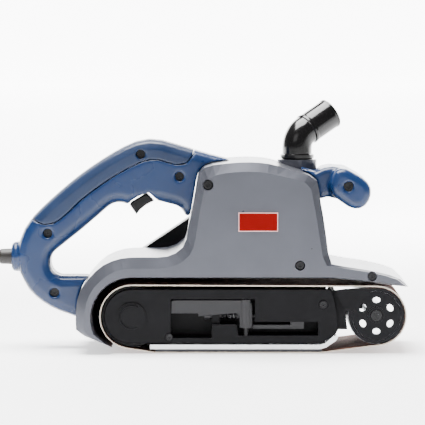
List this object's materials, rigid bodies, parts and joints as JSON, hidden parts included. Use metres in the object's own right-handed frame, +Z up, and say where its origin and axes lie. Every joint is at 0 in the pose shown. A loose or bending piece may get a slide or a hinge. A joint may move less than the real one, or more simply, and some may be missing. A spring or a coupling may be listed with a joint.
{
  "type": "handheld belt sander",
  "caption": "Handheld belt sander with a looped rear handle, a front grip, a swivelling dust elbow and an open belt side.",
  "frame": {"origin": "centre of the belt's flat working face, on the surface that the sander stands on", "axes": "+X towards the nose, +Y away from the open side of the belt, +Z up"},
  "size_m": [0.6011, 0.2051, 0.2257],
  "materials": {
    "silver_paint": "silver painted die casting",
    "steel": "bright",
    "dark_steel": "blackened",
    "blue_plastic": "moulded",
    "soft_blue": "soft touch",
    "black_plastic": "moulded",
    "cast_dark": "black painted die casting",
    "lever_grey": "satin",
    "aluminium": "turned",
    "rubber": "matt",
    "gloss_black": "gloss",
    "red_label": "printed",
    "abrasive": "abrasive grit on cloth",
    "graphite": "graphite",
    "copper": "machined",
    "brass": "bright",
    "cord_rubber": "satin"
  },
  "bodies": {
    "root": {"base_frame": "cast_dark", "brush_lower": "graphite", "brush_upper": "graphite", "cord_coil": "cord_rubber", "cord_end": "cord_rubber", "cord_guard": "cord_rubber", "cover_screw_1": "dark_steel", "cover_screw_2": "dark_steel", "cover_screw_3": "dark_steel", "drive_cover": "black_plastic", "drum_bearing_far": "steel", "drum_bearing_near": "steel", "dust_collar": "silver_paint", "frame_screw": "dark_steel", "front_grip": "blue_plastic", "gear_case": "cast_dark", "grip_screw": "dark_steel", "handle_far": "blue_plastic", "handle_near": "blue_plastic", "handle_screw_1": "dark_steel", "handle_screw_2": "dark_steel", "handle_screw_3": "dark_steel", "handle_screw_4": "dark_steel", "label_plate": "red_label", "lever_pin": "dark_steel", "main_housing": "silver_paint", "motor_bearing_far": "steel", "motor_bearing_near": "steel", "pad": "graphite", "palm_grip_far": "soft_blue", "palm_grip_near": "soft_blue", "plug": "cord_rubber", "plug_pin_a": "brass", "plug_pin_b": "brass", "sanding_belt": "abrasive", "shoe_plate": "steel", "side_cover": "silver_paint", "stator": "cast_dark", "supply_cord": "cord_rubber", "switch_body": "black_plastic", "tension_spring": "steel", "timing_belt": "rubber", "trigger_spring": "steel"},
    "drum": {"drum_core": "aluminium", "drum_tyre": "rubber", "drive_shaft": "steel", "large_pulley": "aluminium"},
    "motor": {"armature": "steel", "commutator": "copper", "cooling_fan": "black_plastic", "small_pulley": "steel"},
    "trigger": {"trigger": "black_plastic"},
    "lock": {"lock_button": "black_plastic"},
    "lever": {"belt_lever": "lever_grey"},
    "carriage": {"tension_rod": "lever_grey"},
    "yoke": {"roller_yoke": "cast_dark", "roller_shaft": "dark_steel"},
    "roller": {"front_roller": "aluminium"},
    "tracking": {"tracking_screw": "dark_steel"},
    "elbow": {"dust_elbow": "gloss_black"}
  },
  "joints": [
    {"name": "drum_spin", "type": "hinge", "parent": "root", "child": "drum", "pos_m": [-0.0936, 0, 0.0328], "axis": [0, 1, 0], "continuous": true},
    {"name": "motor_spin", "type": "hinge", "parent": "root", "child": "motor", "pos_m": [0.018, 0, 0.122], "axis": [0, 1, 0], "continuous": true},
    {"name": "lever_swing", "type": "hinge", "parent": "root", "child": "lever", "pos_m": [0.0095, -0.0468, 0.035], "axis": [0, 0, 1], "range_deg": [-0.1, 90.1]},
    {"name": "roller_retract", "type": "slide", "parent": "root", "child": "carriage", "axis": [1, 0, 0], "range_m": [-0.008, 0], "deforming": ["tension_spring"]},
    {"name": "tracking_turn", "type": "hinge", "parent": "root", "child": "tracking", "pos_m": [0.0792, -0.05, 0.0441], "axis": [0, 1, 0], "range_deg": [-180.1, 180.1]},
    {"name": "tracking_tilt", "type": "hinge", "parent": "carriage", "child": "yoke", "pos_m": [0.089, 0, 0.038], "axis": [0, 0, 1], "range_deg": [-1.5, 1.5], "deforming": ["sanding_belt"]},
    {"name": "roller_spin", "type": "hinge", "parent": "yoke", "child": "roller", "pos_m": [0.1274, 0, 0.0338], "axis": [0, 1, 0], "continuous": true},
    {"name": "trigger_pull", "type": "hinge", "parent": "root", "child": "trigger", "pos_m": [-0.0957, 0, 0.1338], "axis": [0, -1, 0], "range_deg": [0, 8], "stiffness_Nm_per_rad": 0.5, "springref_deg": -17.19, "deforming": ["trigger_spring"]},
    {"name": "lock_press", "type": "slide", "parent": "root", "child": "lock", "axis": [0, -1, 0], "range_m": [0, 0.003], "stiffness_N_per_m": 300, "springref_m": -0.003},
    {"name": "elbow_swivel", "type": "hinge", "parent": "root", "child": "elbow", "pos_m": [0.0576, 0.025, 0.17], "axis": [0, 0, 1], "range_deg": [-150, 150]}
  ],
  "couplings": [
    {"joint": "motor_spin", "follows": "drum_spin", "ratio": 2.4444},
    {"joint": "roller_spin", "follows": "drum_spin", "ratio": 1.0763},
    {"joint": "lever_swing", "follows": "roller_retract", "rad_per_m": -196.35},
    {"joint": "tracking_turn", "follows": "tracking_tilt", "ratio": 120}
  ]
}
